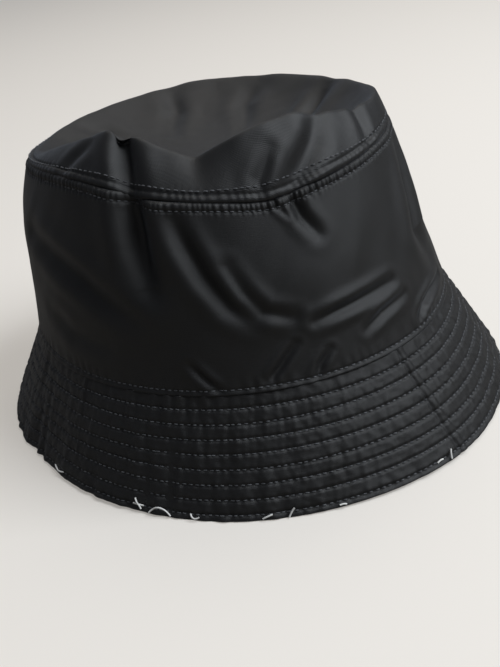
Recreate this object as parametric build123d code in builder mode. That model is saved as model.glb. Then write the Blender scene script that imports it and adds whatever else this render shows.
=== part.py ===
"""Bucket hat: cut and sewn crown, quilted doubled brim, lining and sweatband.

Millimetres. The brim edge lies in the plane z = 0, +Z runs up through the crown,
+Y points to the centre back. Each cloth piece is a solid of its own.
"""

import os
from math import cos, hypot, radians, sin

from build123d import *

# Head opening, where crown and brim are sewn together
opening_length = 202.0
opening_width = 176.0
opening_height = 43.0

# Brim edge, which lies flat on the table
edge_length = 248.0
edge_width = 218.0

# Crown side up to the tip's seam, and the crushed tip that rises above that seam
tip_length = 162.0
tip_width = 141.0
side_height = 75.0
ridge_length = 122.0
ridge_width = 101.0
ridge_rise = 20.0
hollow_length = 46.0
hollow_width = 30.0
hollow_rise = 9.0

# Cloth and its layers
shell_thickness = 0.9
interlining_thickness = 1.0
lining_thickness = 0.4
sweatband_thickness = 0.9
sweatband_height = 32.0
layer_gap = 0.05
join_gap = 0.1
brim_join_angle = 84.0
crown_join_angle = 270.0

# Topstitching, each row set off from its seam or edge
thread = 0.5
thread_gap = 0.05
brim_rows = 8
first_row = 5.5
last_row = 2.2
crown_edge_row = 2.0
tip_row_above = 3.2
tip_row_below = 3.4
sweatband_row = 2.5

# Blank care label on the lining at the back
label_width = 28.0
label_height = 22.0
label_thickness = 0.3
label_lift = 4.0

# Loose thread ends on the hem, by their angle from +X
thread_end_angles = (-6.0, 17.5, 22.5, 29.5, 43.5, 48.0, 58.0, 82.0)
thread_end_length = 4.5

# Each oval is its half width, its half length and its height
tip_height = opening_height + side_height
edge = (edge_width / 2, edge_length / 2, 0.0)
opening = (opening_width / 2, opening_length / 2, opening_height)
tip = (tip_width / 2, tip_length / 2, tip_height)
ridge = (ridge_width / 2, ridge_length / 2, tip_height + ridge_rise)
hollow = (hollow_width / 2, hollow_length / 2, tip_height + hollow_rise)


def lean(low, high):
    """Slant length of the wall between two ovals, with its run and its rise."""
    run = (high[0] + high[1] - low[0] - low[1]) / 2
    rise = high[2] - low[2]
    return hypot(run, rise), run, rise


def moved(oval, outward, up=0.0):
    """The oval made wider on every side, and lifted."""
    return (oval[0] + outward, oval[1] + outward, oval[2] + up)


def between(low, high, share):
    """The oval a share of the way along the wall from low to high."""
    return tuple(a + (b - a) * share for a, b in zip(low, high))


def frustum(low, high, mode=Mode.ADD):
    """Add or cut the room between two ovals."""
    with BuildSketch(Plane.XY.offset(low[2])) as lower:
        Ellipse(low[0], low[1])
    with BuildSketch(Plane.XY.offset(high[2])) as upper:
        Ellipse(high[0], high[1])
    loft(sections=[lower.sketch, upper.sketch], ruled=True, mode=mode)


def wall(low, high, depth, thickness):
    """A cloth wall between two ovals, its outside face sunk below theirs by depth."""
    slant, run, rise = lean(low, high)
    outside = -depth * slant / rise
    inside = outside - thickness * slant / rise
    frustum(moved(low, outside), moved(high, outside))
    frustum(moved(low, inside), moved(high, inside), Mode.SUBTRACT)


def slit(angle, bottom, top):
    """Cut the narrow join where a band's two ends meet."""
    reach = edge_length / 2
    with BuildSketch(Plane.XY.offset(bottom)) as cut:
        with PolarLocations(reach / 2, 1, start_angle=angle):
            Rectangle(reach, join_gap)
    extrude(cut.sketch, amount=top - bottom, mode=Mode.SUBTRACT)


def stitch_row(low, high, share, face=0.0, side=1):
    """A run of thread on the wall between two ovals: side 1 on its outside, -1 on its inside."""
    slant, run, rise = lean(low, high)
    half = thread / 2 / slant
    bottom = between(low, high, share - half)
    top = between(low, high, share + half)
    near = (side * thread_gap - face) * slant / rise
    far = near + side * thread * slant / rise
    frustum(moved(bottom, max(near, far)), moved(top, max(near, far)))
    frustum(moved(bottom, min(near, far)), moved(top, min(near, far)), Mode.SUBTRACT)


def finish(piece, name):
    """Label a piece and write it out."""
    piece.part.label = name
    export_step(piece.part, f"parts/{name}.step")


os.makedirs("parts", exist_ok=True)

# Brim: top cloth, stiff interlining and under cloth, all cut off flat at the edge
brim_slant, brim_run, brim_rise = lean(edge, opening)
interlining_depth = shell_thickness + layer_gap
under_depth = interlining_depth + interlining_thickness + layer_gap

with BuildPart() as brim_top:
    wall(edge, opening, 0.0, shell_thickness)
    slit(brim_join_angle, 0.0, opening_height)
finish(brim_top, "brim_top")

with BuildPart() as brim_interlining:
    wall(edge, opening, interlining_depth, interlining_thickness)
finish(brim_interlining, "brim_interlining")

with BuildPart() as brim_under:
    wall(edge, opening, under_depth, shell_thickness)
    slit(brim_join_angle, 0.0, opening_height)
finish(brim_under, "brim_under")

# Crown side band and its lining, between the brim and the tip
crown_foot = moved(opening, 0.0, layer_gap)
crown_head = moved(tip, 0.0, -layer_gap)
crown_slant, crown_run, crown_rise = lean(crown_foot, crown_head)
lining_depth = shell_thickness + layer_gap

with BuildPart() as crown_side:
    wall(crown_foot, crown_head, 0.0, shell_thickness)
    slit(crown_join_angle, crown_foot[2], crown_head[2])
finish(crown_side, "crown_side")

with BuildPart() as side_lining:
    wall(crown_foot, crown_head, lining_depth, lining_thickness)
finish(side_lining, "side_lining")

# Sweatband, standing on the brim inside the side lining
sweatband_depth = lining_depth + lining_thickness + layer_gap
sweatband_head = between(crown_foot, crown_head, sweatband_height / crown_slant)

with BuildPart() as sweatband:
    wall(crown_foot, sweatband_head, sweatband_depth, sweatband_thickness)
finish(sweatband, "sweatband")

sweatband_face = sweatband_depth + sweatband_thickness
with BuildPart() as sweatband_stitch:
    stitch_row(crown_foot, crown_head, sweatband_row / crown_slant, sweatband_face, -1)
finish(sweatband_stitch, "sweatband_stitch")

# Care label, a patch of the wall behind a tall window
label_low = between(crown_foot, crown_head, (sweatband_height + label_lift) / crown_slant)
label_high = between(crown_foot, crown_head, (sweatband_height + label_lift + label_height) / crown_slant)

with BuildPart() as care_label:
    wall(label_low, label_high, sweatband_depth, label_thickness)
    with BuildSketch(Plane.XY.offset(label_low[2])) as window:
        with Locations((0.0, opening_length / 2)):
            Rectangle(label_width, opening_length)
    extrude(window.sketch, amount=label_high[2] - label_low[2], mode=Mode.INTERSECT)
finish(care_label, "care_label")


# Crown tip and its lining: a shoulder that rises to the ridge, then a dish
def sunk(depth):
    """The tip's three ovals sunk by depth, so that cloth between two depths is even."""
    foot_slant, foot_run, foot_rise = lean(tip, ridge)
    dish_slant, dish_run, dish_rise = lean(ridge, hollow)
    shoulder = (-foot_rise / foot_slant, foot_run / foot_slant)
    dish = (-dish_rise / dish_slant, dish_run / dish_slant)
    mitre = 1 + shoulder[0] * dish[0] + shoulder[1] * dish[1]
    lip_out = depth * (shoulder[0] + dish[0]) / mitre
    lip_up = depth * (shoulder[1] + dish[1]) / mitre
    floor_out = depth * dish[0] / (1 - dish[1])
    foot = moved(tip, depth / shoulder[0])
    return foot, moved(ridge, lip_out, lip_up), moved(hollow, floor_out, -depth)


def tip_block(depth):
    """The tip as a solid block with its outside face sunk by depth."""
    foot, lip, floor = sunk(depth)
    with BuildPart() as block:
        frustum(foot, lip)
        frustum(floor, lip, Mode.SUBTRACT)
    return block.part


shell_outside = tip_block(0.0)
shell_inside = tip_block(shell_thickness)
with BuildPart() as crown_tip:
    add(shell_outside)
    add(shell_inside, mode=Mode.SUBTRACT)
finish(crown_tip, "crown_tip")

lining_outside = tip_block(lining_depth)
lining_inside = tip_block(lining_depth + lining_thickness)
with BuildPart() as tip_lining:
    add(lining_outside)
    add(lining_inside, mode=Mode.SUBTRACT)
finish(tip_lining, "tip_lining")

# Topstitching: evenly spread rows on the brim, and one row on each side of the other seams
row_pitch = (brim_slant - first_row - last_row) / (brim_rows - 1)
for row in range(brim_rows):
    with BuildPart() as brim_stitch:
        stitch_row(edge, opening, 1 - (first_row + row * row_pitch) / brim_slant)
    finish(brim_stitch, f"brim_stitch_{row + 1}")

with BuildPart() as crown_edge_stitch:
    stitch_row(crown_foot, crown_head, crown_edge_row / crown_slant)
finish(crown_edge_stitch, "crown_edge_stitch")

with BuildPart() as tip_stitch_lower:
    stitch_row(crown_foot, crown_head, 1 - tip_row_below / crown_slant)
finish(tip_stitch_lower, "tip_stitch_lower")

shoulder_slant, shoulder_run, shoulder_rise = lean(tip, ridge)
with BuildPart() as tip_stitch_upper:
    stitch_row(tip, ridge, tip_row_above / shoulder_slant)
finish(tip_stitch_upper, "tip_stitch_upper")

# Loose thread ends, lying up the brim between the last row and the edge
end_lift = (thread_gap + thread / 2) * brim_slant / brim_rise
end_start = last_row + thread
end_low = moved(between(edge, opening, end_start / brim_slant), end_lift)
end_high = moved(between(edge, opening, (end_start + thread_end_length) / brim_slant), end_lift)

with BuildPart() as thread_ends:
    for angle in thread_end_angles:
        across = cos(radians(angle))
        along = sin(radians(angle))
        start = Vector(end_low[0] * across, end_low[1] * along, end_low[2])
        stop = Vector(end_high[0] * across, end_high[1] * along, end_high[2])
        with BuildSketch(Plane(origin=start, z_dir=stop - start)) as end:
            Circle(thread / 2)
        extrude(end.sketch, amount=(stop - start).length)
finish(thread_ends, "thread_ends")
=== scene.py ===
from math import cos, pi, radians, sin

import bpy
import numpy as np
from mathutils import Matrix, Vector


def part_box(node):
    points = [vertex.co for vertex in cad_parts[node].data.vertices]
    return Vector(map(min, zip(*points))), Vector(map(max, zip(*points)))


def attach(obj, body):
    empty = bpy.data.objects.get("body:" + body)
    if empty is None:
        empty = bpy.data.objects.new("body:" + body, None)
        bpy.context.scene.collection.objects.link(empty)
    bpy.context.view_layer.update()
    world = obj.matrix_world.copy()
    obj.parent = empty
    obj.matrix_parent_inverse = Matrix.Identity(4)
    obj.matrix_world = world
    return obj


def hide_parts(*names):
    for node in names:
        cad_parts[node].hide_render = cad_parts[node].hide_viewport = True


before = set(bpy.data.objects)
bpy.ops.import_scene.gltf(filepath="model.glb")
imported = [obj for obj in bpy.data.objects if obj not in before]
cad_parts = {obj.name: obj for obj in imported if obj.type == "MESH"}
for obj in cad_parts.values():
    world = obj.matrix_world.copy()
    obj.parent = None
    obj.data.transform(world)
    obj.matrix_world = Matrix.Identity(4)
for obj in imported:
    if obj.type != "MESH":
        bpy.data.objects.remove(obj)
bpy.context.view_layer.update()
mm = 0.001


# ---------------------------------------------------------------------------
# The table the hat stands on, the room's light and the camera. A pale plain
# floor, a window high on the right, a weak fill and a dim pale room.

floor_size = 6.0
bpy.ops.mesh.primitive_plane_add(size=floor_size, location=(0, 0, 0))
floor = bpy.context.object
floor.name = "floor"

pale = bpy.data.materials.new("pale_table")
pale.use_nodes = True
nodes, links = pale.node_tree.nodes, pale.node_tree.links
board = nodes["Principled BSDF"]
board.inputs["Base Color"].default_value = (0.62, 0.59, 0.55, 1)
board.inputs["Roughness"].default_value = 0.9
board.inputs["Specular IOR Level"].default_value = 0.1
glow = nodes.new("ShaderNodeEmission")
glow.inputs["Color"].default_value = (0.80, 0.765, 0.715, 1)
glow.inputs["Strength"].default_value = 0.36
dull = nodes.new("ShaderNodeBsdfDiffuse")
dull.inputs["Color"].default_value = (0.24, 0.22, 0.19, 1)
lit = nodes.new("ShaderNodeAddShader")
seen = nodes.new("ShaderNodeMixShader")
path = nodes.new("ShaderNodeLightPath")
links.new(board.outputs["BSDF"], lit.inputs[0])
links.new(glow.outputs["Emission"], lit.inputs[1])
links.new(path.outputs["Is Camera Ray"], seen.inputs["Fac"])
links.new(dull.outputs["BSDF"], seen.inputs[1])
links.new(lit.outputs["Shader"], seen.inputs[2])
links.new(seen.outputs["Shader"], nodes["Material Output"].inputs["Surface"])
floor.data.materials.append(pale)

world = bpy.data.worlds.new("room")
world.use_nodes = True
world.node_tree.nodes["Background"].inputs["Color"].default_value = (0.86, 0.90, 1.0, 1)
world.node_tree.nodes["Background"].inputs["Strength"].default_value = 0.15
bpy.context.scene.world = world


def lamp(name, size, power, colour, azimuth, elevation, distance):
    """A soft rectangular lamp that looks at the hat's crown."""
    data = bpy.data.lights.new(name, "AREA")
    data.shape = "RECTANGLE"
    data.size, data.size_y = size
    data.energy = power
    data.color = colour
    light = bpy.data.objects.new(name, data)
    bpy.context.collection.objects.link(light)
    turn, lift = radians(azimuth), radians(elevation)
    away = Vector((sin(turn) * cos(lift), -cos(turn) * cos(lift), sin(lift)))
    light.location = Vector((0, 0, 0.07)) + away * distance
    light.rotation_mode = "QUATERNION"
    light.rotation_quaternion = (-away).to_track_quat("-Z", "Y")


lamp("window", (1.2, 1.0), 27, (0.90, 0.95, 1.0), 208, 46, 1.7)
lamp("overhead", (1.4, 1.0), 9, (1.0, 0.95, 0.88), 305, 62, 1.8)

camera_azimuth, camera_elevation, camera_roll = 138.4, 27.8, -10.6
camera_distance, camera_right, camera_up = 0.4155, 0.0101, -0.0355
frame_height, focal = 667, 900
turn, lift, roll = radians(camera_azimuth), radians(camera_elevation), radians(camera_roll)
back = Vector((sin(turn) * cos(lift), -cos(turn) * cos(lift), sin(lift)))
level = (-back).cross(Vector((0, 0, 1))).normalized()
right = level * cos(roll) + level.cross(-back) * sin(roll)
above = back.cross(right)
view = bpy.data.cameras.new("view")
view.sensor_width = 36
view.lens = focal / frame_height * view.sensor_width
view.clip_start = 0.01
camera = bpy.data.objects.new("view", view)
bpy.context.collection.objects.link(camera)
place = Vector((0, 0, 0.06)) + back * camera_distance + right * camera_right + above * camera_up
camera.matrix_world = Matrix.Translation(place) @ Matrix((right, above, back)).transposed().to_4x4()
bpy.context.scene.camera = camera
bpy.context.scene.view_settings.view_transform = "Standard"


# ---------------------------------------------------------------------------
# The brim's top cloth: a ring cut from black satin nylon, joined at the back
# by one radial seam, and quilted through the stiff interlining in eight rows.

columns = 1008
angles = np.arange(columns) * 2 * pi / columns
brim_half = np.array(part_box("brim_top")[1])
side_low, side_high = (np.array(corner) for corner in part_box("crown_side"))
brim_slant = 48.3 * mm
brim_radius, join_radius = 105 * mm, 112 * mm
brim_rows = 8
first_row, last_row = 5.5 * mm, 2.2 * mm
cloth_thickness = 0.9 * mm
brim_join = 84.0


def ring(half_x, half_y, height, at=angles):
    """An oval line round the hat."""
    return np.stack([half_x * np.cos(at), half_y * np.sin(at), height + 0 * at], axis=-1)


def round_the_hat(stations, softness=5.0):
    """Values at stations round the hat, given in degrees from +X, joined up smoothly."""
    fine = np.arange(0.0, 360.0, 0.5)
    rough = np.interp(fine, list(stations), list(stations.values()), period=360.0)
    bell = np.exp(-0.5 * (np.minimum(fine, 360.0 - fine) / softness) ** 2)
    smooth = np.real(np.fft.ifft(np.fft.fft(rough) * np.fft.fft(bell / bell.sum())))
    return lambda at: np.interp(np.degrees(at), fine, smooth, period=360.0)


def bell(distance, width):
    """One where the distance is nothing, falling softly to none."""
    return np.exp(-((distance / width) ** 2))


def ripples(across, up, waves, longest, shortest, seed):
    """Slack in the cloth: soft waves of many lengths, about one high."""
    rng = np.random.default_rng(seed)
    total = 0.0
    for _ in range(waves):
        length = shortest * (longest / shortest) ** rng.random()
        heading, start = rng.random(2) * 2 * pi
        along = across * cos(heading) + up * sin(heading)
        total = total + np.sin(along * 2 * pi / length + start) * (length / longest) ** 0.7
    return total / np.sqrt(waves)


def facing(grid):
    """The outward normal at each point of a closed band of cloth."""
    across = np.roll(grid, -1, 1) - np.roll(grid, 1, 1)
    up = np.gradient(grid, axis=0)
    normal = np.cross(across, up)
    return normal / np.maximum(np.linalg.norm(normal, axis=-1, keepdims=True), 1e-12)


def off_circle(degrees, centre):
    """Signed angle from a place on the hat, in degrees."""
    return (degrees - centre + 180.0) % 360.0 - 180.0


edge_drift = round_the_hat({0: 0.0, 10: 0.6, 30: 0.4, 60: 0.6, 85: 2.2, 105: 0.5, 140: 1.0, 190: -1.5,
                            230: 1.2, 270: -1.0, 300: 0.6, 322: 1.4, 334: 0.6, 342: -2.4, 350: -1.2}, 4.0)
edge_lift = round_the_hat({0: 1.6, 12: 1.8, 24: 0.3, 33: 0.0, 50: 0.4, 66: 1.2, 80: 1.8, 96: 1.0,
                           130: 2.0, 170: 0.2, 210: 1.8, 250: 0.2, 290: 1.5, 330: 0.6}, 7.0)
row_places = 1 - (first_row + np.arange(brim_rows) * (brim_slant - first_row - last_row)
                  / (brim_rows - 1)) / brim_slant


def opening_line(at):
    """The seam line between brim and crown."""
    return ring(side_high[0], side_high[1], side_low[2], at)


def edge_line(at):
    """The brim's edge, a little wavy where it lies on the table."""
    line = ring(brim_half[0], brim_half[1], 0.0, at)
    outward = line / np.linalg.norm(line, axis=-1, keepdims=True)
    frayed = 0.7 * np.sin(at * 58 + 2.0 * np.sin(at * 23)) * bell(off_circle(np.degrees(at), 340.0), 13.0)
    line = line + outward * ((edge_drift(at) + frayed) * mm)[..., None]
    line[..., 2] += edge_lift(at) * mm
    return line


def brim_base(at, share):
    """The brim's middle surface: angles round by shares up from edge to seam."""
    edge, opening = edge_line(at)[None], opening_line(at)[None]
    share = share[:, None, None]
    return edge + (opening - edge) * share


def quilting(at, share):
    """How far the cloth stands off between the stitched rows, with its small puckers."""
    degrees = np.degrees(at)[None]
    around = at[None] * brim_radius
    up = share[:, None] * brim_slant
    height = 0.0 * around + 0.0 * up
    for number, place in enumerate(row_places):
        away = up - place * brim_slant
        drift = 0.25 * mm * np.sin(at[None] * (3 + number % 3) + number * 1.7)
        height -= 0.62 * mm * bell(away - drift, 0.75 * mm)
        puckers = np.sin(around / (2.75 * mm) * 2 * pi + number * 2.1 + 1.5 * np.sin(around * 90 + number))
        height += 0.10 * mm * puckers * bell(away - drift, 1.9 * mm)
    drawn = 0.55 + 0.9 * bell(off_circle(degrees, 22.0), 16.0) + 0.4 * bell(off_circle(degrees, 205.0), 40.0)
    height += 0.42 * mm * drawn * ripples(around, up * 0.22, 26, 12 * mm, 3.2 * mm, 5)
    height += 0.13 * mm * ripples(around, up, 24, 9 * mm, 3 * mm, 8)
    height += 0.30 * mm * ripples(around, up, 8, 60 * mm, 25 * mm, 9)
    seam = (off_circle(degrees, brim_join + 3.0 * (0.5 - share[:, None])) * pi / 180) * join_radius
    height -= 0.75 * mm * bell(seam, 0.55 * mm)
    height += 0.50 * mm * (bell(seam - 2.4 * mm, 1.9 * mm) + 0.4 * bell(seam + 1.8 * mm, 1.5 * mm))
    height -= 0.35 * mm * bell(seam - 4.8 * mm, 0.5 * mm)
    return height


def sewn_cloth(name, outside, inside, width, height):
    """A closed band of cloth from its outside and inside grids, with the flat pattern as its UV map."""
    rings = np.concatenate([outside, inside[::-1]])
    count, round_count = rings.shape[:2]
    rows, cols = np.meshgrid(np.arange(count), np.arange(round_count), indexing="ij")
    nrow, ncol = (rows + 1) % count, (cols + 1) % round_count
    quads = np.stack([rows * round_count + cols, rows * round_count + ncol,
                      nrow * round_count + ncol, nrow * round_count + cols], axis=-1).reshape(-1, 4)
    share = np.concatenate([np.linspace(0, 1, len(outside)), np.linspace(1, 0, len(inside))])
    share = np.append(share, share[0])
    u = np.stack([cols, cols + 1, cols + 1, cols], axis=-1).reshape(-1, 4) / round_count * width
    v = share[np.stack([rows, rows, rows + 1, rows + 1], axis=-1).reshape(-1, 4)] * height
    return cloth_object(name, rings.reshape(-1, 3), quads, np.stack([u, v], axis=-1))


def cloth_object(name, points, faces, pattern):
    """A smooth mesh object with its pattern coordinates."""
    mesh = bpy.data.meshes.new(name)
    mesh.from_pydata(points.tolist(), [], faces.tolist())
    mesh.uv_layers.new(name="pattern").data.foreach_set("uv", pattern.astype(np.float32).ravel())
    mesh.polygons.foreach_set("use_smooth", np.ones(len(mesh.polygons), bool))
    mesh.update()
    made = bpy.data.objects.new(name, mesh)
    bpy.context.collection.objects.link(made)
    return made


def weave_group():
    """Plain weave from the pattern coordinates: a fine over-and-under height with slubs."""
    group = bpy.data.node_groups.new("fine_weave", "ShaderNodeTree")
    group.interface.new_socket("Pattern", in_out="INPUT", socket_type="NodeSocketVector")
    group.interface.new_socket("Yarns per metre", in_out="INPUT", socket_type="NodeSocketFloat")
    group.interface.new_socket("Height", in_out="OUTPUT", socket_type="NodeSocketFloat")
    group.interface.new_socket("Slubs", in_out="OUTPUT", socket_type="NodeSocketFloat")
    nodes, links = group.nodes, group.links
    enter, leave = nodes.new("NodeGroupInput"), nodes.new("NodeGroupOutput")
    split = nodes.new("ShaderNodeSeparateXYZ")
    links.new(enter.outputs["Pattern"], split.inputs[0])
    waves = []
    for axis in ("X", "Y"):
        scaled = nodes.new("ShaderNodeMath")
        scaled.operation = "MULTIPLY"
        links.new(split.outputs[axis], scaled.inputs[0])
        links.new(enter.outputs["Yarns per metre"], scaled.inputs[1])
        turned = nodes.new("ShaderNodeMath")
        turned.operation = "MULTIPLY"
        turned.inputs[1].default_value = pi
        links.new(scaled.outputs[0], turned.inputs[0])
        wave = nodes.new("ShaderNodeMath")
        wave.operation = "SINE"
        links.new(turned.outputs[0], wave.inputs[0])
        waves.append(wave)
    crossing = nodes.new("ShaderNodeMath")
    crossing.operation = "MULTIPLY"
    links.new(waves[0].outputs[0], crossing.inputs[0])
    links.new(waves[1].outputs[0], crossing.inputs[1])
    stretch = nodes.new("ShaderNodeVectorMath")
    stretch.operation = "MULTIPLY"
    stretch.inputs[1].default_value = (260.0, 2600.0, 1.0)
    links.new(enter.outputs["Pattern"], stretch.inputs[0])
    slub = nodes.new("ShaderNodeTexNoise")
    slub.inputs["Scale"].default_value = 1.0
    slub.inputs["Detail"].default_value = 3.0
    links.new(stretch.outputs[0], slub.inputs["Vector"])
    total = nodes.new("ShaderNodeMath")
    total.operation = "MULTIPLY_ADD"
    total.inputs[1].default_value = 0.5
    links.new(crossing.outputs[0], total.inputs[0])
    links.new(slub.outputs["Fac"], total.inputs[2])
    links.new(total.outputs[0], leave.inputs["Height"])
    links.new(slub.outputs["Fac"], leave.inputs["Slubs"])
    return group


fine_weave = weave_group()


def woven_finish(name, dark, light, roughness, sheen, yarns, relief):
    """A woven black cloth: two close tones, a gloss that varies with wear, and a weave."""
    material = bpy.data.materials.new(name)
    material.use_nodes = True
    nodes, links = material.node_tree.nodes, material.node_tree.links
    cloth = nodes["Principled BSDF"]
    cloth.inputs["Specular IOR Level"].default_value = 0.5
    cloth.inputs["Sheen Weight"].default_value = sheen
    cloth.inputs["Sheen Roughness"].default_value = 0.35
    cloth.inputs["Sheen Tint"].default_value = (0.80, 0.87, 1.0, 1)
    pattern = nodes.new("ShaderNodeUVMap")
    pattern.uv_map = "pattern"
    weave = nodes.new("ShaderNodeGroup")
    weave.node_tree = fine_weave
    weave.inputs["Yarns per metre"].default_value = yarns
    links.new(pattern.outputs["UV"], weave.inputs["Pattern"])
    clouds = nodes.new("ShaderNodeTexNoise")
    clouds.inputs["Scale"].default_value = 38.0
    clouds.inputs["Detail"].default_value = 4.0
    where = nodes.new("ShaderNodeTexCoord")
    links.new(where.outputs["Object"], clouds.inputs["Vector"])
    mixed = nodes.new("ShaderNodeMath")
    mixed.operation = "ADD"
    links.new(clouds.outputs["Fac"], mixed.inputs[0])
    links.new(weave.outputs["Slubs"], mixed.inputs[1])
    tone = nodes.new("ShaderNodeValToRGB")
    tone.color_ramp.elements[0].position, tone.color_ramp.elements[1].position = 0.30, 0.72
    tone.color_ramp.elements[0].color = (*dark, 1)
    tone.color_ramp.elements[1].color = (*light, 1)
    halved = nodes.new("ShaderNodeMath")
    halved.operation = "MULTIPLY"
    halved.inputs[1].default_value = 0.5
    links.new(mixed.outputs[0], halved.inputs[0])
    links.new(halved.outputs[0], tone.inputs["Fac"])
    links.new(tone.outputs["Color"], cloth.inputs["Base Color"])
    gloss = nodes.new("ShaderNodeMapRange")
    gloss.inputs["From Min"].default_value, gloss.inputs["From Max"].default_value = 0.3, 0.7
    gloss.inputs["To Min"].default_value = roughness - 0.05
    gloss.inputs["To Max"].default_value = roughness + 0.07
    links.new(halved.outputs[0], gloss.inputs["Value"])
    links.new(gloss.outputs["Result"], cloth.inputs["Roughness"])
    bump = nodes.new("ShaderNodeBump")
    bump.inputs["Strength"].default_value = relief
    bump.inputs["Distance"].default_value = 0.00012
    links.new(weave.outputs["Height"], bump.inputs["Height"])
    links.new(bump.outputs["Normal"], cloth.inputs["Normal"])
    return material


satin_nylon = woven_finish("satin_nylon", (0.0040, 0.0039, 0.0038), (0.0086, 0.0086, 0.0090), 0.48, 0.12,
                           4200.0, 0.55)

brim_shares = np.linspace(0, 1, 122)
brim_plain = brim_base(angles, brim_shares)
brim_facing = facing(brim_plain)
brim_outside = brim_plain + brim_facing * quilting(angles, brim_shares)[..., None]
few = np.linspace(0, 1, 10)
brim_back = brim_base(angles, few)
brim_back = brim_back - facing(brim_back) * cloth_thickness
brim_round = 2 * pi * brim_radius

brim_top = sewn_cloth("brim_top_cloth", brim_outside, brim_back, brim_round, brim_slant)
brim_top.data.materials.append(satin_nylon)
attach(brim_top, "root")
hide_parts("brim_top")


# ---------------------------------------------------------------------------
# The crown's side band: one strip of the same nylon, eased to the brim and to
# the tip. It slumps, so soft folds run down from the tip seam to the brim.

tip_low, tip_high = (np.array(corner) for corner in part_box("crown_tip"))
tip_half = np.array([tip_high[0], tip_high[1]])
crown_slant = 77.2 * mm
crown_round = 2 * pi * 88 * mm
tip_droop = round_the_hat({0: 5.0, 5: 4.2, 10: 3.2, 15: 1.9, 19: 0.4, 23: -1.0, 27: -2.0, 32: -2.9,
                           39: -3.9, 46: -5.2, 53: -6.8, 58: -7.8, 63: -7.4, 70: -6.0, 77: -4.9,
                           88: -3.8, 99: -2.7, 110: -2.0, 130: -0.5, 150: 0.5, 180: 1.0, 220: 2.0,
                           260: 1.0, 290: 0.5, 314: 2.8, 340: 5.0, 350: 5.6}, 2.2)


tip_drift = round_the_hat({0: 0.0, 60: 0.0, 100: 0.3, 122: 1.2, 150: 0.4, 250: 0.0, 300: 1.2, 322: 2.6,
                           345: 1.0}, 5.0)


def tip_line(at):
    """The seam round the top of the crown, drooping where the tip is crushed."""
    line = ring(tip_half[0], tip_half[1], 0.0, at)
    line += line / np.linalg.norm(line, axis=-1, keepdims=True) * (tip_drift(at) * mm)[..., None]
    line[..., 2] = tip_low[2] + tip_droop(at) * mm
    return line


# Each fold: its route as (degrees from +X, height up the band in mm), depth in mm,
# half width in mm, and how far the cloth beside it rolls up, in mm.
crown_folds = [
    ([(19.5, 82), (20, 70), (21, 57), (23, 43)], 7.0, 5.6, 1.8),
    ([(60, 79), (61, 74), (63, 69)], 0.8, 1.2, 0.3),
    ([(65.5, 79), (66, 73), (67, 67), (70, 58)], 2.4, 2.6, 0.7),
    ([(-22, 52), (-10, 46), (0, 41), (9, 35), (18, 30)], 2.0, 4.2, 1.3),
    ([(32, 70), (34.5, 60), (38, 48), (43, 36), (48, 30)], 1.9, 3.4, 1.3),
    ([(44, 52), (47, 42), (51, 33), (58, 29)], 1.3, 2.6, 0.8),
    ([(63, 25), (69, 26), (76, 26.5), (88, 27)], 1.5, 2.2, 1.1),
    ([(76, 14), (82, 17), (91, 19)], 1.1, 1.9, 0.8),
    ([(95, 6), (99, 9), (105, 10.5), (114, 11)], 1.7, 1.8, 1.0),
    ([(31, 13), (34, 7), (37, 2)], 1.1, 1.5, 0.7),
    ([(49, 4), (52, 9), (57, 18)], 1.1, 1.5, 0.7),
    ([(60, 1), (62, 7), (65, 12)], 0.9, 1.4, 0.6),
    ([(-14, 22), (-4, 17), (8, 16)], 0.9, 3.6, 0.7),
    ([(118, 70), (112, 52), (108, 36), (112, 22)], 1.8, 4.5, 1.2),
    ([(150, 72), (156, 55), (152, 34)], 2.2, 4.5, 1.3),
    ([(176, 24), (190, 30), (204, 27)], 1.4, 3.0, 1.0),
    ([(205, 74), (208, 60), (216, 44), (214, 30)], 2.6, 4.6, 1.4),
    ([(238, 18), (250, 26), (262, 24)], 1.5, 3.0, 1.0),
    ([(262, 72), (258, 56), (263, 40)], 2.0, 4.0, 1.2),
    ([(290, 40), (300, 32), (308, 20)], 1.6, 3.6, 1.0),
]


def fold(across, up, route, depth, width, roll):
    """One fold on the flat pattern: a groove, a roll of cloth along each side, and soft ends."""
    nearest = np.full(np.broadcast(across, up).shape, 1e9)
    taper = np.zeros_like(nearest)
    steps = len(route) - 1
    for number in range(steps):
        (ax, ay), (bx, by) = route[number], route[number + 1]
        dx, dy = bx - ax, by - ay
        share = ((across - ax) * dx + (up - ay) * dy) / (dx * dx + dy * dy)
        held = np.clip(share, 0, 1)
        away = np.hypot(across - ax - held * dx, up - ay - held * dy)
        along = (number + held) / steps
        closer = away < nearest
        nearest = np.where(closer, away, nearest)
        taper = np.where(closer, np.sin(pi * np.clip(0.12 + 0.76 * along, 0, 1)), taper)
    groove = -depth * np.exp(-((nearest / width) ** 2))
    rolled = roll * np.exp(-(((nearest - 2.0 * width) / (1.2 * width)) ** 2))
    return (groove + rolled) * taper


crown_degree = 1.53  # millimetres of cloth for each degree round the crown
pucker_strength = round_the_hat({0: 0.8, 10: 1.2, 20: 0.9, 35: 0.6, 50: 0.9, 60: 1.4, 80: 1.5, 95: 1.1,
                                 120: 0.7, 200: 0.9, 300: 0.7}, 4.0)
side_belly = round_the_hat({0: 1.6, 30: 0.8, 60: 1.4, 90: 1.0, 130: 0.2, 180: 2.2, 230: 1.4, 280: 2.4,
                            305: 3.6, 322: 4.2, 340: 3.2}, 8.0)


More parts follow.
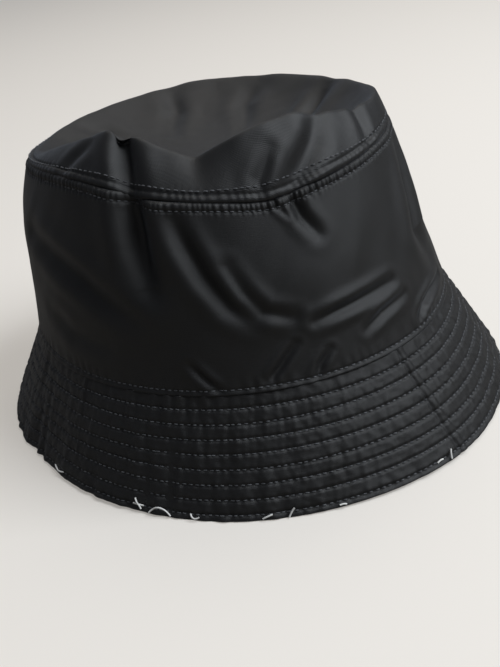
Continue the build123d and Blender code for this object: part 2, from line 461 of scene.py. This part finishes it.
def crown_slack(at, share, fine=1.0):
    """How far the band stands off its straight line: belly, folds, slack and gathers."""
    degrees = (np.degrees(at)[None] + 60.0) % 360.0 - 60.0
    across, up = degrees * crown_degree, share[:, None] * crown_slant / mm
    height = side_belly(at)[None] * np.sin(pi * share[:, None] ** 1.35)
    for route, depth, width, roll in crown_folds:
        route = [(where * crown_degree, place) for where, place in route]
        height = height + fold(across, up, route, depth, width, roll)
    free = np.sin(pi * np.clip(share, 0.0, 1.0))[:, None] ** 0.6
    round_x, round_y = 88 * np.cos(at)[None], 88 * np.sin(at)[None]
    height = height + 0.85 * free * ripples(round_x, round_y + up * 0.8, 14, 90, 26, 21)
    height = height + 0.16 * free * ripples(round_x * 1.1 + up * 0.3, round_y - up * 0.6, 26, 24, 7, 22)
    below = crown_slant / mm - up
    bars = np.sin(across / 2.5 * 2 * pi + 2.2 * np.sin(across * 0.31)) + 0.5 * np.sin(across / 3.9 * 2 * pi)
    band = np.clip(below / 0.6, 0, 1) * np.exp(-((np.maximum(below - 2.6, 0) / 1.9) ** 2))
    height = height + fine * 0.24 * pucker_strength(at)[None] * bars * band
    height = height - fine * 0.45 * bell(below - 3.4, 0.6) + fine * 0.12 * bell(below - 1.8, 1.2)
    height = height - fine * 0.8 * bell(below, 0.5)
    height = height - fine * 0.4 * bell(up - 2.0, 0.6) + 0.35 * bell(up, 1.5)
    gathers = np.sin(across / 5.3 * 2 * pi + 3.0 * np.sin(across * 0.17))
    height = height + fine * 0.16 * gathers * np.exp(-((up - 3.0) / 3.4) ** 2)
    return height * mm


def crown_base(at, share):
    """The band's straight wall between the opening seam and the tip seam."""
    foot, head = opening_line(at)[None], tip_line(at)[None]
    return foot + (head - foot) * share[:, None, None]


crown_shares = np.linspace(0, 1, 156)
crown_plain = crown_base(angles, crown_shares)
crown_facing = facing(crown_plain)
crown_outside = crown_plain + crown_facing * crown_slack(angles, crown_shares)[..., None]
soft_shares = np.linspace(0, 1, 30)
crown_soft = crown_base(angles, soft_shares)
crown_soft_facing = facing(crown_soft)
crown_soft = crown_soft + crown_soft_facing * crown_slack(angles, soft_shares, 0.0)[..., None]

crown_side = sewn_cloth("crown_side_cloth", crown_outside, crown_soft - crown_soft_facing * cloth_thickness,
                        crown_round, crown_slant)
crown_side.data.materials.append(satin_nylon)
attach(crown_side, "root")
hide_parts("crown_side")


# ---------------------------------------------------------------------------
# The crown's tip: an oval of the same nylon, crushed so that its front stands
# up in a sharp crest and its middle lies in a hollow that rises to the back.

crest_inset = round_the_hat({0: 14, 10: 14, 26: 14, 33: 14.5, 40: 15.5, 47: 15, 54: 14, 75: 14, 90: 13,
                             104: 10, 118: 5, 130: 4, 145: 6, 160: 8, 200: 9, 240: 9, 280: 8, 300: 7,
                             320: 6, 330: 8, 345: 12}, 2.5)
crest_height = round_the_hat({0: 136.5, 10: 140.2, 18: 138.3, 26: 134.8, 33: 131, 40: 127.0, 47: 130.6,
                              54: 134.0, 64: 137.0, 75: 137.6, 90: 133, 104: 129.5, 118: 129, 130: 129.5,
                              145: 128, 160: 127.0, 180: 127.3, 220: 127.3, 250: 125.2, 280: 124, 300: 123,
                              320: 124.0, 330: 125.5, 345: 131.5}, 1.6)
hollow_fall = round_the_hat({0: 3.2, 20: 3.8, 45: 4.6, 70: 4.2, 95: 3.4, 130: 3.0, 180: 2.7, 230: 2.5,
                             280: 2.6, 320: 2.8}, 10.0)
hollow_middle = np.array([4.0, 5.0, 109.5]) * mm
shoulder_rows, hollow_rows = 46, 90


def tip_surface(at):
    """The tip from its seam, up the shoulder to the crest, and down into the hollow."""
    seam = tip_line(at)
    inward = -seam * np.array([1.0, 1.0, 0.0])
    inward = inward / np.linalg.norm(inward, axis=-1, keepdims=True)
    crest = seam + inward * (crest_inset(at) * mm)[:, None]
    crest[:, 2] = crest_height(at) * mm
    shoulder = seam + (crest - seam) * 0.45
    shoulder[:, 2] += 1.6 * mm
    step = np.linspace(0, 1, shoulder_rows)[:, None, None]
    rising = seam * (1 - step) ** 2 + 2 * shoulder * step * (1 - step) + crest * step ** 2
    step = np.linspace(0, 0.985, hollow_rows)[1:, None, None]
    falling = crest + (hollow_middle - crest) * step
    drop = (1 - step[:, :, 0]) ** hollow_fall(at)[None]
    falling[..., 2] = hollow_middle[2] + (crest[:, 2] - hollow_middle[2])[None] * drop
    return np.concatenate([rising, falling])


def softened(grid, rows, keep):
    """The grid with its sharp turns rounded up and down the rows, its first rows kept."""
    reach = np.arange(-3 * rows, 3 * rows + 1)
    weight = np.exp(-0.5 * (reach / rows) ** 2)
    weight /= weight.sum()
    padded = np.concatenate([np.repeat(grid[:1], 3 * rows, 0), grid, np.repeat(grid[-1:], 3 * rows, 0)])
    smooth = sum(w * padded[i:i + len(grid)] for i, w in enumerate(weight))
    mix = np.clip(np.arange(len(grid)) / keep, 0, 1)[:, None, None]
    mix = mix * np.clip((len(grid) - 1 - np.arange(len(grid))) / keep, 0, 1)[:, None, None]
    return grid * (1 - mix) + smooth * mix


# Creases on the tip: (degrees, millimetres in from the seam), then depth, width and roll.
tip_folds = [
    ([(19.5, -8), (19, 4), (17.5, 12), (16, 18), (14, 26)], 5.0, 4.6, 0.8),
    ([(64, -2), (70, 6), (79, 14), (86, 22)], 2.0, 4.6, 0.9),
    ([(56, 0), (58, 8), (64, 18)], 0.9, 2.6, 0.5),
    ([(100, 2), (103, 10), (106, 20)], 1.1, 3.0, 0.6),
    ([(-6, 1), (-3, 8), (2, 15)], 0.9, 2.6, 0.5),
    ([(160, 16), (157, 28), (148, 46)], 2.2, 5.0, 1.2),
    ([(196, 18), (200, 32), (190, 50)], 1.2, 6.0, 0.8),
    ([(236, 16), (238, 30), (250, 48)], 1.4, 6.0, 0.9),
    ([(285, 14), (280, 26), (276, 40)], 1.0, 5.0, 0.7),
]


def tip_slack(at, grid, fine=1.0):
    """Folds, slack and the padded seam on the tip."""
    degrees = (np.degrees(at)[None] + 60.0) % 360.0 - 60.0
    paces = np.linalg.norm(np.diff(grid, axis=0), axis=-1)
    inward = np.concatenate([np.zeros((1, len(at))), np.cumsum(paces, axis=0)]) / mm
    across = degrees * 1.3
    height = np.zeros_like(inward)
    for route, depth, width, roll in tip_folds:
        route = [(where * 1.3, place) for where, place in route]
        height = height + fold(across, inward, route, depth, width, roll)
    free = np.clip(inward / 6, 0, 1) * np.clip((len(grid) - np.arange(len(grid)))[:, None] / 20, 0, 1)
    flat_x, flat_y = grid[..., 0] / mm, grid[..., 1] / mm
    height = height + free * (0.35 * ripples(flat_x, flat_y, 12, 90, 35, 31)
                              + 0.07 * ripples(flat_x, flat_y, 22, 18, 6, 32))
    height = height - fine * 0.45 * bell(inward - 3.2, 0.6) + fine * 0.12 * bell(inward - 1.7, 1.2)
    height = height - fine * 0.8 * bell(inward, 0.5)
    bars = np.sin(across / 3.1 * 2 * pi + 2.0 * np.sin(across * 0.27))
    height = height + fine * 0.10 * bars * bell(inward - 2.4, 2.4)
    return height * mm


tip_plain = softened(tip_surface(angles), 3, 8)
tip_facing = facing(tip_plain)
tip_outside = tip_plain + tip_facing * tip_slack(angles, tip_plain)[..., None]


def sewn_disc(name, outside, inside, width):
    """A closed disc of cloth from its outside and inside grids, each with a middle point."""
    round_count = outside.shape[1]
    middle_out, middle_in = outside[-1].mean(0), inside[-1].mean(0)
    rings = np.concatenate([outside[::-1], inside])
    count = len(rings)
    rows, cols = np.meshgrid(np.arange(count - 1), np.arange(round_count), indexing="ij")
    ncol = (cols + 1) % round_count
    quads = np.stack([rows * round_count + cols, (rows + 1) * round_count + cols,
                      (rows + 1) * round_count + ncol, rows * round_count + ncol], axis=-1).reshape(-1, 4)
    points = np.concatenate([rings.reshape(-1, 3), [middle_out, middle_in]])
    turn = np.arange(round_count)
    turned = (turn + 1) % round_count
    top = np.stack([turn * 0 + count * round_count, turn, turned], axis=-1)
    last = (count - 1) * round_count
    low = np.stack([turn * 0 + count * round_count + 1, last + turned, last + turn], axis=-1)
    faces = quads.tolist() + top.tolist() + low.tolist()
    order = np.concatenate([quads.ravel(), top.ravel(), low.ravel()])
    mesh = bpy.data.meshes.new(name)
    mesh.from_pydata(points.tolist(), [], faces)
    mesh.uv_layers.new(name="pattern").data.foreach_set("uv", points[order, :2].astype(np.float32).ravel())
    mesh.polygons.foreach_set("use_smooth", np.ones(len(mesh.polygons), bool))
    mesh.update()
    made = bpy.data.objects.new(name, mesh)
    bpy.context.collection.objects.link(made)
    return made


tip_soft = tip_plain[::4]
tip_inside = tip_soft + facing(tip_soft) * (tip_slack(angles, tip_soft, 0.0) - cloth_thickness)[..., None]
crown_tip = sewn_disc("crown_tip_cloth", tip_outside, tip_inside, crown_round)
crown_tip.data.materials.append(satin_nylon)
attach(crown_tip, "root")
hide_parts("crown_tip")


# ---------------------------------------------------------------------------
# Topstitching: dark grey spun thread, lockstitched at about nine stitches to
# 25 mm, in eight rows on the brim and one row on each side of the other seams.

stitch_pitch, stitch_length, thread_radius = 2.65 * mm, 1.75 * mm, 0.29 * mm
crown_edge_row, tip_row_below, tip_row_above = 2.0 * mm, 3.4 * mm, 3.2 * mm


def on_cloth(grid, turn, row):
    """Points on a cloth grid at angles round the hat and at a row place, between its vertices."""
    count, round_count = grid.shape[:2]
    col = (turn / (2 * pi) * round_count) % round_count
    left = np.floor(col).astype(int) % round_count
    low = np.clip(np.floor(row).astype(int), 0, count - 2)
    fx, fy = (col - np.floor(col))[:, None], (row - low)[:, None]
    nxt = (left + 1) % round_count
    lower = grid[low, left] * (1 - fx) + grid[low, nxt] * fx
    upper = grid[low + 1, left] * (1 - fx) + grid[low + 1, nxt] * fx
    return lower * (1 - fy) + upper * fy


def stitches(name, grid, normals, row, side=1.0, seed=1, wander=0.12, sides=6):
    """A row of single stitches that dip into the cloth at their ends."""
    rng = np.random.default_rng(seed)
    turn = np.linspace(0, 2 * pi, 1441)
    line = on_cloth(grid, turn, np.full(1441, float(row)))
    length = np.append(0, np.cumsum(np.linalg.norm(np.diff(line, axis=0), axis=1)))
    count = int(length[-1] / stitch_pitch)
    starts = (np.arange(count) + 0.08 * rng.standard_normal(count)) * length[-1] / count
    reach = stitch_length * (1 + 0.06 * rng.standard_normal(count))
    steps = np.array([0.0, 0.14, 0.5, 0.86, 1.0])
    swell = np.array([0.35, 0.95, 1.05, 0.95, 0.35])
    rise = np.array([-0.6, 0.45, 0.8, 0.45, -0.6])
    at = np.interp((starts[:, None] + reach[:, None] * steps) % length[-1], length, turn)
    rows = row + wander * rng.standard_normal(count)[:, None] * np.array([1, 0.6, 0, -0.6, -1])
    flat_at, flat_rows = at.ravel(), rows.ravel()
    centre = on_cloth(grid, flat_at, flat_rows).reshape(count, 5, 3)
    normal = on_cloth(normals, flat_at, flat_rows).reshape(count, 5, 3) * side
    along = np.gradient(centre, axis=1)
    along /= np.linalg.norm(along, axis=-1, keepdims=True)
    beside = np.cross(along, normal)
    centre = centre + normal * (rise * thread_radius)[None, :, None]
    spoke = np.arange(sides) * 2 * pi / sides
    offset = (normal[:, :, None] * np.cos(spoke)[None, None, :, None] * 0.85
              + beside[:, :, None] * np.sin(spoke)[None, None, :, None])
    points = centre[:, :, None] + offset * (swell * thread_radius)[None, :, None, None]
    first = np.arange(count)[:, None, None] * 5 * sides
    ring_at, spoke_at = np.meshgrid(np.arange(4), np.arange(sides), indexing="ij")
    following = (spoke_at + 1) % sides
    quads = np.stack([ring_at * sides + spoke_at, ring_at * sides + following,
                      (ring_at + 1) * sides + following, (ring_at + 1) * sides + spoke_at], axis=-1)
    quads = (quads.reshape(1, -1, 4) + first).reshape(-1, 4)
    caps = np.concatenate([np.arange(sides)[None, ::-1], 4 * sides + np.arange(sides)[None]])
    caps = (caps[None] + first).reshape(-1, sides)
    mesh = bpy.data.meshes.new(name)
    mesh.from_pydata(points.reshape(-1, 3).tolist(), [], quads.tolist() + caps.tolist())
    mesh.polygons.foreach_set("use_smooth", np.ones(len(mesh.polygons), bool))
    mesh.update()
    made = bpy.data.objects.new(name, mesh)
    bpy.context.collection.objects.link(made)
    return made


def thread_finish(name, dark, light, roughness):
    """Spun thread: a slight mottle along it and a fine twist."""
    material = bpy.data.materials.new(name)
    material.use_nodes = True
    nodes, links = material.node_tree.nodes, material.node_tree.links
    thread = nodes["Principled BSDF"]
    thread.inputs["Sheen Weight"].default_value = 0.2
    thread.inputs["Specular IOR Level"].default_value = 0.35
    where = nodes.new("ShaderNodeTexCoord")
    mottle = nodes.new("ShaderNodeTexNoise")
    mottle.inputs["Scale"].default_value = 900.0
    links.new(where.outputs["Object"], mottle.inputs["Vector"])
    tone = nodes.new("ShaderNodeValToRGB")
    tone.color_ramp.elements[0].position, tone.color_ramp.elements[1].position = 0.35, 0.65
    tone.color_ramp.elements[0].color = (*dark, 1)
    tone.color_ramp.elements[1].color = (*light, 1)
    links.new(mottle.outputs["Fac"], tone.inputs["Fac"])
    links.new(tone.outputs["Color"], thread.inputs["Base Color"])
    rough = nodes.new("ShaderNodeMapRange")
    rough.inputs["To Min"].default_value, rough.inputs["To Max"].default_value = roughness - 0.1, roughness
    links.new(mottle.outputs["Fac"], rough.inputs["Value"])
    links.new(rough.outputs["Result"], thread.inputs["Roughness"])
    bump = nodes.new("ShaderNodeBump")
    bump.inputs["Strength"].default_value = 0.5
    bump.inputs["Distance"].default_value = 0.00008
    links.new(mottle.outputs["Fac"], bump.inputs["Height"])
    links.new(bump.outputs["Normal"], thread.inputs["Normal"])
    return material


grey_thread = thread_finish("grey_thread", (0.045, 0.047, 0.052), (0.095, 0.098, 0.105), 0.7)


def sew(piece, node):
    """Give a row of stitches its thread and its place on the hat."""
    piece.data.materials.append(grey_thread)
    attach(piece, "root")
    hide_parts(node)


for number, place in enumerate(row_places):
    row = stitches(f"brim_row_{number + 1}", brim_outside, brim_facing, place * (len(brim_shares) - 1),
                   seed=number + 1)
    sew(row, f"brim_stitch_{number + 1}")
sew(stitches("crown_edge_row", crown_outside, crown_facing,
             crown_edge_row / crown_slant * (len(crown_shares) - 1), seed=20), "crown_edge_stitch")
sew(stitches("tip_row_lower", crown_outside, crown_facing,
             (1 - tip_row_below / crown_slant) * (len(crown_shares) - 1), seed=21), "tip_stitch_lower")
shoulder_length = np.linalg.norm(np.diff(tip_plain[:shoulder_rows], axis=0), axis=-1).sum(0).mean()
sew(stitches("tip_row_upper", tip_outside, tip_facing,
             tip_row_above / shoulder_length * (shoulder_rows - 1), seed=22), "tip_stitch_upper")


# ---------------------------------------------------------------------------
# Loose ends of white basting thread left in the hem: short tufts and one loop,
# each a twisted strand that lies up the brim from the last row.

white_thread = thread_finish("white_thread", (0.80, 0.79, 0.76), (0.92, 0.91, 0.88), 0.9)
strand_radius = 0.34 * mm

# Each strand: (degrees, millimetres up from the edge, millimetres off the cloth) at its points.
loose_strands = [
    [(-7.5, 2.6, 0.3), (-6.4, 1.9, 0.7), (-5.2, 1.6, 0.8), (-4.0, 2.2, 0.3)],
    [(17.0, 5.2, 0.4), (17.3, 3.4, 1.0), (17.9, 2.0, 0.6), (18.3, 1.0, 0.3)],
    [(16.6, 3.0, 0.3), (17.5, 2.3, 0.9), (18.6, 2.5, 0.5)],
    [(20.3, 0.6, 0.3), (20.9, 2.4, 0.9), (22.3, 3.6, 1.2), (23.9, 2.6, 1.0), (24.6, 0.6, 0.4)],
    [(28.6, 2.2, 0.3), (29.0, 1.2, 0.9), (29.8, 0.7, 0.7), (30.4, 1.4, 0.3)],
    [(42.5, 0.7, 0.3), (43.3, 1.6, 0.8), (44.4, 2.0, 0.6)],
    [(47.3, 0.5, 0.3), (47.8, 2.0, 0.9), (48.6, 3.6, 0.8)],
    [(57.0, 1.0, 0.3), (57.8, 1.3, 0.8), (58.3, 0.8, 0.3)],
    [(79.0, 1.9, 0.3), (79.8, 2.6, 0.8), (80.4, 2.2, 0.3)],
    [(82.2, 0.8, 0.3), (82.4, 2.4, 1.0), (82.9, 4.4, 0.9)],
]


def strand(points, seed):
    """A short limp strand through its points, drawn as a bevelled curve."""
    curve = bpy.data.curves.new("strand", "CURVE")
    curve.dimensions = "3D"
    curve.bevel_depth = strand_radius
    curve.bevel_resolution = 2
    curve.resolution_u = 8
    spline = curve.splines.new("NURBS")
    spline.points.add(len(points) - 1)
    rng = np.random.default_rng(seed)
    for number, (degrees, up, off) in enumerate(points):
        at = np.array([radians(degrees)])
        row = np.array([up * mm / brim_slant * (len(brim_shares) - 1)])
        spot = on_cloth(brim_outside, at, row)[0]
        out = on_cloth(brim_facing, at, row)[0]
        spot = spot + out * (off * mm + strand_radius) + rng.standard_normal(3) * 0.1 * mm
        spline.points[number].co = (*spot, 1)
    spline.order_u = 3
    spline.use_endpoint_u = True
    made = bpy.data.objects.new("strand", curve)
    bpy.context.collection.objects.link(made)
    return made


tufts = [strand(points, number) for number, points in enumerate(loose_strands)]
bpy.ops.object.select_all(action="DESELECT")
for tuft in tufts:
    tuft.select_set(True)
bpy.context.view_layer.objects.active = tufts[0]
bpy.ops.object.convert(target="MESH")
bpy.ops.object.join()
loose_ends = bpy.context.object
loose_ends.name = "loose_thread_ends"
loose_ends.data.materials.clear()
loose_ends.data.materials.append(white_thread)
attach(loose_ends, "root")
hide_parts("thread_ends")


# ---------------------------------------------------------------------------
# Inside the brim: a stiff interlining, and the under cloth that the same rows
# of stitching hold.

layer_gap = 0.05 * mm
interlining_top = cloth_thickness + layer_gap
interlining_low = interlining_top + 1.0 * mm
under_top = interlining_low + layer_gap
under_low = under_top + cloth_thickness

stiffener = woven_finish("stiffener", (0.05, 0.05, 0.05), (0.09, 0.09, 0.09), 0.9, 0.0, 900.0, 0.3)
hidden = brim_base(angles[::4], few)
hidden_facing = facing(hidden)
interlining = sewn_cloth("brim_stiffener", hidden - hidden_facing * (interlining_top + 0.1 * mm),
                         hidden - hidden_facing * (interlining_low - 0.1 * mm), brim_round, brim_slant)
interlining.data.materials.append(stiffener)
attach(interlining, "root")
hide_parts("brim_interlining")

under_face = brim_plain - brim_facing * (under_low + quilting(angles, brim_shares))[..., None]
under_back = brim_base(angles, few)
under_back = under_back - facing(under_back) * under_top
brim_under = sewn_cloth("brim_under_cloth", under_back, under_face, brim_round, brim_slant)
brim_under.data.materials.append(satin_nylon)
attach(brim_under, "root")
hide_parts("brim_under")


# ---------------------------------------------------------------------------
# The lining: a plain side strip and a plain oval of thin black cloth, sewn in
# with the same seams, so it follows the crown's folds from the inside.

lining_cloth = woven_finish("lining_cloth", (0.012, 0.012, 0.013), (0.022, 0.022, 0.024), 0.6, 0.1,
                            3000.0, 0.5)
lining_top = cloth_thickness + layer_gap
lining_low = lining_top + 0.4 * mm

side_lining = sewn_cloth("side_lining_cloth", crown_soft - crown_soft_facing * lining_top,
                         crown_soft - crown_soft_facing * lining_low, crown_round, crown_slant)
side_lining.data.materials.append(lining_cloth)
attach(side_lining, "root")
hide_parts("side_lining")

tip_slack_soft = tip_slack(angles, tip_soft, 0.0)
tip_lining_top = tip_soft + facing(tip_soft) * (tip_slack_soft - lining_top)[..., None]
tip_lining_low = tip_soft + facing(tip_soft) * (tip_slack_soft - lining_low)[..., None]
tip_lining = sewn_disc("tip_lining_cloth", tip_lining_top, tip_lining_low, crown_round)
tip_lining.data.materials.append(lining_cloth)
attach(tip_lining, "root")
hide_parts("tip_lining")


# ---------------------------------------------------------------------------
# The sweatband: a ribbed band standing on the opening seam inside the lining,
# stitched along its foot, with a blank label tucked in behind it at the back.

sweatband_height, sweatband_thickness, sweatband_row = 32 * mm, 0.9 * mm, 2.5 * mm
band_shares = np.linspace(0, sweatband_height / crown_slant, 64)
band_plain = crown_base(angles, band_shares)
band_facing = facing(band_plain)
band_top = lining_low + layer_gap
band_slack = crown_slack(angles, band_shares, 0.0)
ribs = 0.08 * mm * np.sin(band_shares[:, None] * crown_slant / (1.6 * mm) * 2 * pi)
edge_turn = 0.35 * mm * bell((band_shares[:, None] - band_shares[-1]) * crown_slant, 2.0 * mm)
band_back = band_plain + band_facing * (band_slack - band_top)[..., None]
band_depth = band_slack - band_top - sweatband_thickness - ribs - edge_turn
band_face = band_plain + band_facing * band_depth[..., None]
sweatband_cloth = woven_finish("sweatband_cloth", (0.010, 0.010, 0.011), (0.020, 0.020, 0.022), 0.7, 0.15,
                               1800.0, 0.7)
sweatband = sewn_cloth("sweatband_cloth_band", band_back, band_face, crown_round, sweatband_height)
sweatband.data.materials.append(sweatband_cloth)
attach(sweatband, "root")
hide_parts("sweatband")
sew(stitches("sweatband_row", band_face, band_facing,
             sweatband_row / sweatband_height * (len(band_shares) - 1), side=-1.0, seed=30), "sweatband_stitch")

label_tape = woven_finish("label_tape", (0.60, 0.60, 0.57), (0.74, 0.73, 0.70), 0.6, 0.1, 2200.0, 0.6)
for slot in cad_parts["care_label"].material_slots:
    slot.material = label_tape
